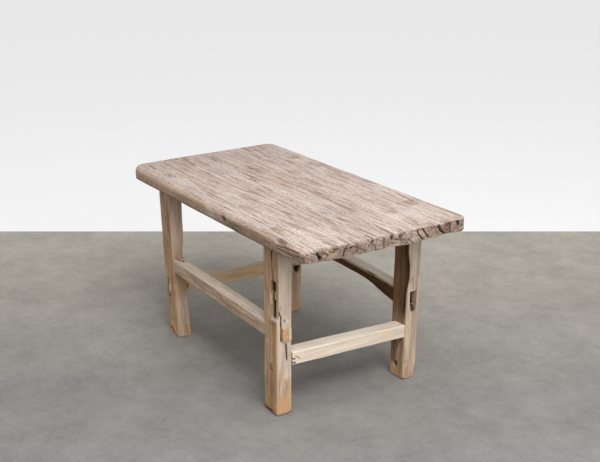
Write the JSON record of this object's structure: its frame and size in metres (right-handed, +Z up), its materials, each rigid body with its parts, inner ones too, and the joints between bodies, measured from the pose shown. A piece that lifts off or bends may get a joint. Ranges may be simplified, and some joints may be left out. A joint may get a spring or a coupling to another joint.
{
  "type": "coffee table",
  "caption": "Low rustic elm table: one thick plank with rounded corners on four leaning square legs, tied by four stretchers with wedged through tenons.",
  "frame": {"origin": "on the floor, under the middle of the plank's outline", "axes": "+Z up, +X along the plank's grain and length towards the right end, +Y across the plank towards the back"},
  "size_m": [0.87, 0.458, 0.46],
  "materials": {
    "plank_wood": "dry, open-grained old elm, greyed and worn, with dark furrows along the grain",
    "leg_wood": "dry, weathered old elm, light and pinkish where worn, brown where shaded, orange-brown at the feet",
    "stretcher_wood": "dry, worn old elm with soft rounded edges",
    "wedge_wood": "dry split hardwood, rough end grain"
  },
  "bodies": {
    "root": {"top_plank": "plank_wood", "leg_front_right": "leg_wood", "leg_back_right": "leg_wood", "leg_front_left": "leg_wood", "leg_back_left": "leg_wood", "stretcher_front": "stretcher_wood", "stretcher_back": "stretcher_wood", "stretcher_right": "stretcher_wood", "stretcher_left": "stretcher_wood", "wedge_top_front_right": "wedge_wood", "wedge_top_back_right": "wedge_wood", "wedge_top_front_left": "wedge_wood", "wedge_top_back_left": "wedge_wood", "wedge_front_stretcher_left": "wedge_wood", "wedge_front_stretcher_right": "wedge_wood", "wedge_back_stretcher_left": "wedge_wood", "wedge_right_stretcher_front": "wedge_wood", "wedge_right_stretcher_back": "wedge_wood", "wedge_left_stretcher_front": "wedge_wood", "wedge_left_stretcher_back": "wedge_wood"}
  },
  "joints": []
}
